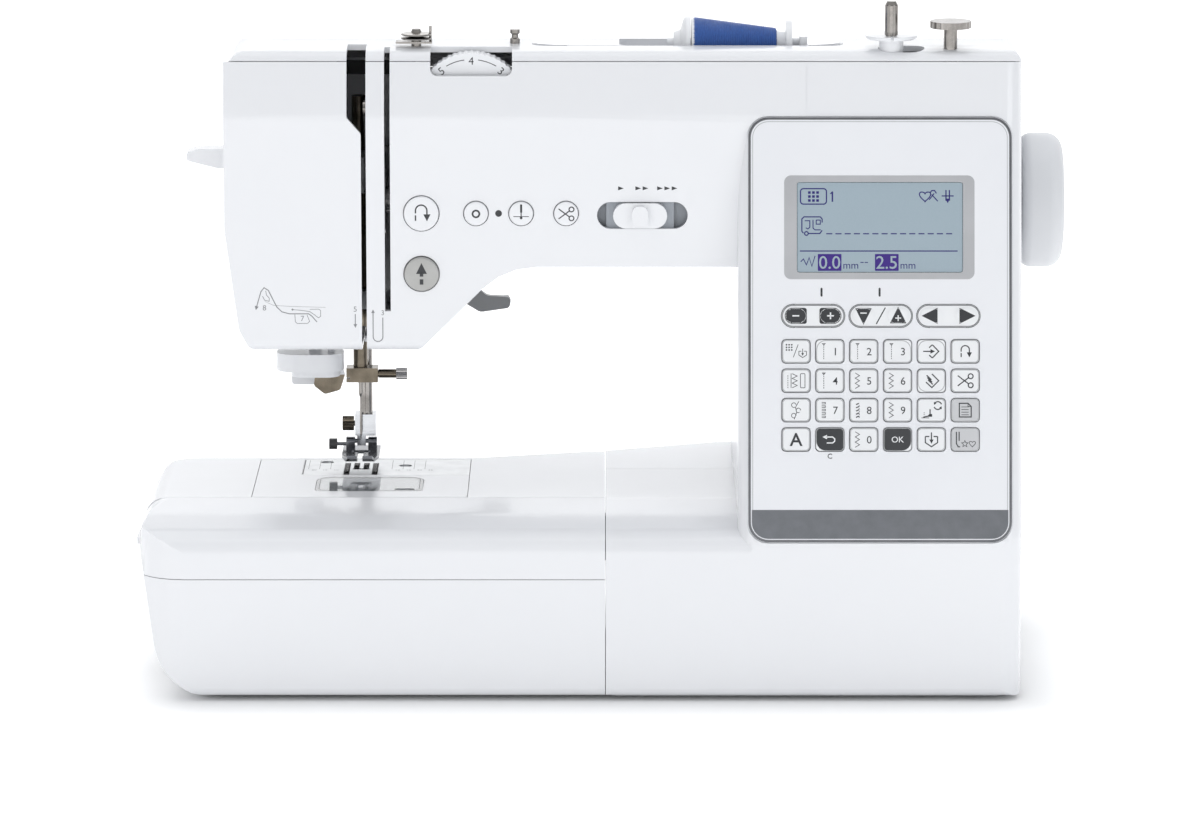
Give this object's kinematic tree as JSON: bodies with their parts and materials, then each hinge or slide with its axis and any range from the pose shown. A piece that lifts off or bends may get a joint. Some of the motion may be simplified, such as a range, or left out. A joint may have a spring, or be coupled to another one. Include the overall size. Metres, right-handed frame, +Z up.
{
  "type": "sewing machine",
  "caption": "Free-arm domestic sewing machine with a leaning key panel, handwheel, carry handle, needle and presser bars, and a slide-off accessory bin.",
  "frame": {"origin": "centre of the footprint box, on the table under the rubber feet", "axes": "+X from the needle head to the handwheel, +Y from the front to the back, +Z up"},
  "size_m": [0.413, 0.1792, 0.3045],
  "materials": {
    "shell": "moulded white, softly glossy",
    "panel": "moulded pale grey, fine texture",
    "keys": "moulded silicone, matt white",
    "buttons": "moulded white",
    "smoke": "moulded dark grey",
    "base": "moulded pale grey",
    "steel": "bare steel, ground",
    "chrome": "plated, polished",
    "bronze": "plated, warm tone",
    "cast": "die cast, bare",
    "rubber": "matt black",
    "board": "laminate with components",
    "thread": "wound thread",
    "clear": "clear moulded plastic"
  },
  "bodies": {
    "body": {"front_cover": "shell", "rear_cover": "shell", "face_plate": "shell", "top_cover": "shell", "base_tray": "base", "free_arm_cover": "shell", "rubber_feet": "rubber", "housing_screws": "steel", "plate_cover": "shell", "needle_plate": "steel", "bobbin_case": "smoke", "spool_pin": "shell", "winder_stop": "chrome", "thread_guides": "chrome", "panel_plate": "panel", "control_board": "board", "power_inlet": "smoke", "timing_belt": "rubber", "motor_belt": "rubber", "motor": "steel", "main_frame": "cast"},
    "main_shaft": {"upper_shaft": "steel", "handwheel": "shell"},
    "low_shaft": {"lower_shaft": "steel"},
    "hook": {"hook_race": "steel"},
    "motor_rotor": {"motor_pulley": "cast"},
    "needle_unit": {"needle_bar": "bronze", "needle": "steel"},
    "clamp_knob": {"clamp_screw": "chrome"},
    "presser_unit": {"presser_bar": "chrome", "foot_holder": "buttons"},
    "foot_knob": {"foot_screw": "bronze"},
    "foot": {"presser_foot": "chrome"},
    "foot_lever": {"presser_lever": "smoke"},
    "take_up": {"take_up_lever": "chrome"},
    "threader_grip": {"threader_lever": "shell"},
    "threader": {"needle_threader": "buttons"},
    "buttonhole": {"buttonhole_lever": "buttons"},
    "tension": {"tension_dial": "buttons"},
    "speed": {"speed_slider": "buttons"},
    "reverse": {"reverse_button": "buttons"},
    "start_stop": {"start_stop_button": "buttons"},
    "reinforce": {"reinforce_button": "buttons"},
    "needle_key": {"needle_button": "buttons"},
    "cutter": {"cutter_button": "buttons"},
    "keys": {"keypad": "keys"},
    "rocker_width": {"width_rocker": "buttons"},
    "rocker_length": {"length_rocker": "buttons"},
    "rocker_select": {"select_rocker": "buttons"},
    "handle": {"carry_handle": "shell"},
    "winder_slide": {"winder_seat": "buttons"},
    "winder_pin": {"winder_shaft": "chrome"},
    "cap": {"spool_cap": "buttons"},
    "spool": {"thread_spool": "thread"},
    "bin": {"accessory_bin": "shell"},
    "lid": {"accessory_lid": "shell"},
    "bobbin_lid": {"bobbin_cover": "clear"},
    "bobbin_body": {"bobbin": "buttons"},
    "feed": {"feed_dogs": "steel"},
    "switch": {"power_switch": "smoke"}
  },
  "joints": [
    {"name": "handwheel_turn", "type": "hinge", "parent": "body", "child": "main_shaft", "pos_m": [0.184, 0.0206, 0.2068], "axis": [1, 0, 0], "continuous": true},
    {"name": "low_shaft_turn", "type": "hinge", "parent": "body", "child": "low_shaft", "pos_m": [0, 0.00955, 0.05], "axis": [1, 0, 0], "continuous": true},
    {"name": "hook_turn", "type": "hinge", "parent": "body", "child": "hook", "pos_m": [-0.1054, -0.00265, 0.0626], "axis": [0, 0, 1], "continuous": true},
    {"name": "motor_turn", "type": "hinge", "parent": "body", "child": "motor_rotor", "pos_m": [0.0848, 0.025, 0.062], "axis": [1, 0, 0], "continuous": true},
    {"name": "needle_bar_slide", "type": "slide", "parent": "body", "child": "needle_unit", "axis": [0, 0, 1], "range_m": [-0.03, 0]},
    {"name": "needle_clamp_turn", "type": "hinge", "parent": "needle_unit", "child": "clamp_knob", "pos_m": [-0.1105, 0.0206, 0.12685], "axis": [1, 0, 0], "range_deg": [-180, 180]},
    {"name": "presser_lever_turn", "type": "hinge", "parent": "body", "child": "foot_lever", "pos_m": [-0.084, 0.066, 0.172], "axis": [0, -1, 0], "range_deg": [-60, 25]},
    {"name": "presser_bar_slide", "type": "slide", "parent": "body", "child": "presser_unit", "axis": [0, 0, 1], "range_m": [-0.0053, 0.0022]},
    {"name": "foot_screw_turn", "type": "hinge", "parent": "presser_unit", "child": "foot_knob", "pos_m": [-0.1105, 0.0306, 0.1019], "axis": [1, 0, 0], "range_deg": [-180, 180]},
    {"name": "foot_tilt", "type": "hinge", "parent": "presser_unit", "child": "foot", "pos_m": [-0.1105, 0.0282, 0.0942], "axis": [1, 0, 0], "range_deg": [-6, 0]},
    {"name": "take_up_swing", "type": "hinge", "parent": "body", "child": "take_up", "pos_m": [-0.1048, -0.004, 0.2263], "axis": [1, 0, 0], "range_deg": [0, 62]},
    {"name": "threader_lever_slide", "type": "slide", "parent": "body", "child": "threader_grip", "axis": [0, 0, 1], "range_m": [-0.044, 0], "stiffness_N_per_m": 15, "springref_m": 0.012},
    {"name": "threader_slide", "type": "slide", "parent": "body", "child": "threader", "axis": [0, 0, 1], "range_m": [-0.022, 0]},
    {"name": "buttonhole_lever_slide", "type": "slide", "parent": "body", "child": "buttonhole", "axis": [0, 0, 1], "range_m": [-0.03, 0]},
    {"name": "tension_dial_turn", "type": "hinge", "parent": "body", "child": "tension", "pos_m": [-0.0584, -0.0444, 0.2576], "axis": [0, 1, 0], "range_deg": [-125, 100]},
    {"name": "speed_slide", "type": "slide", "parent": "body", "child": "speed", "axis": [1, 0, 0], "range_m": [-0.0065, 0.0086]},
    {"name": "reverse_press", "type": "slide", "parent": "body", "child": "reverse", "axis": [0, 1, 0], "range_m": [0, 0.0012], "stiffness_N_per_m": 300, "springref_m": -0.001},
    {"name": "start_stop_press", "type": "slide", "parent": "body", "child": "start_stop", "axis": [0, 1, 0], "range_m": [0, 0.0012], "stiffness_N_per_m": 300, "springref_m": -0.001},
    {"name": "reinforce_press", "type": "slide", "parent": "body", "child": "reinforce", "axis": [0, 1, 0], "range_m": [0, 0.0012], "stiffness_N_per_m": 300, "springref_m": -0.001},
    {"name": "needle_position_press", "type": "slide", "parent": "body", "child": "needle_key", "axis": [0, 1, 0], "range_m": [0, 0.0012], "stiffness_N_per_m": 300, "springref_m": -0.001},
    {"name": "thread_cutter_press", "type": "slide", "parent": "body", "child": "cutter", "axis": [0, 1, 0], "range_m": [0, 0.0012], "stiffness_N_per_m": 300, "springref_m": -0.001},
    {"name": "keypad_press", "type": "slide", "parent": "body", "child": "keys", "axis": [0, 0.9799, -0.1994], "range_m": [0, 0.0008], "stiffness_N_per_m": 600, "springref_m": -0.0006},
    {"name": "width_rock", "type": "hinge", "parent": "body", "child": "rocker_width", "pos_m": [0.0918, -0.06836, 0.16926], "axis": [0, 0.1994, 0.9799], "range_deg": [-2.5, 2.5], "stiffness_Nm_per_rad": 0.05},
    {"name": "length_rock", "type": "hinge", "parent": "body", "child": "rocker_length", "pos_m": [0.1215, -0.06836, 0.16926], "axis": [0, 0.1994, 0.9799], "range_deg": [-2.5, 2.5], "stiffness_Nm_per_rad": 0.05},
    {"name": "select_rock", "type": "hinge", "parent": "body", "child": "rocker_select", "pos_m": [0.1512, -0.06836, 0.16926], "axis": [0, 0.1994, 0.9799], "range_deg": [-2.5, 2.5], "stiffness_Nm_per_rad": 0.05},
    {"name": "carry_handle_lift", "type": "hinge", "parent": "body", "child": "handle", "pos_m": [0.037, -0.026, 0.2806], "axis": [1, 0, 0], "range_deg": [0, 98]},
    {"name": "winder_engage", "type": "slide", "parent": "body", "child": "winder_slide", "axis": [1, 0, 0], "range_m": [0, 0.009]},
    {"name": "winder_spin", "type": "hinge", "parent": "winder_slide", "child": "winder_pin", "pos_m": [0.1265, -0.038, 0.288], "axis": [0, 0, 1], "continuous": true},
    {"name": "spool_cap_pull", "type": "slide", "parent": "body", "child": "cap", "axis": [1, 0, 0], "range_m": [-0.02, 0]},
    {"name": "spool_spin", "type": "hinge", "parent": "body", "child": "spool", "pos_m": [0.0308, -0.018, 0.2833], "axis": [1, 0, 0], "continuous": true},
    {"name": "accessory_bin_pull", "type": "slide", "parent": "body", "child": "bin", "axis": [1, 0, 0], "range_m": [-0.12, 0]},
    {"name": "accessory_lid_pull", "type": "slide", "parent": "bin", "child": "lid", "axis": [1, 0, 0], "range_m": [-0.09, 0]},
    {"name": "bobbin_cover_lift", "type": "slide", "parent": "body", "child": "bobbin_lid", "axis": [0, 0, 1], "range_m": [0, 0.003]},
    {"name": "bobbin_spin", "type": "hinge", "parent": "body", "child": "bobbin_body", "pos_m": [-0.1054, -0.00265, 0.0656], "axis": [0, 0, 1], "continuous": true},
    {"name": "feed_travel", "type": "slide", "parent": "body", "child": "feed", "axis": [0, 1, 0], "range_m": [-0.0025, 0.0025]},
    {"name": "power_switch_rock", "type": "hinge", "parent": "body", "child": "switch", "pos_m": [0.18, 0.04059, 0.0413], "axis": [0, 1, 0], "range_deg": [-12, 0]}
  ],
  "couplings": [
    {"joint": "low_shaft_turn", "follows": "handwheel_turn", "ratio": 1},
    {"joint": "hook_turn", "follows": "handwheel_turn", "ratio": -2},
    {"joint": "motor_turn", "follows": "handwheel_turn", "ratio": 4},
    {"joint": "presser_lever_turn", "follows": "presser_bar_slide", "rad_per_m": 197.59},
    {"joint": "threader_slide", "follows": "threader_lever_slide", "ratio": 0.5}
  ]
}
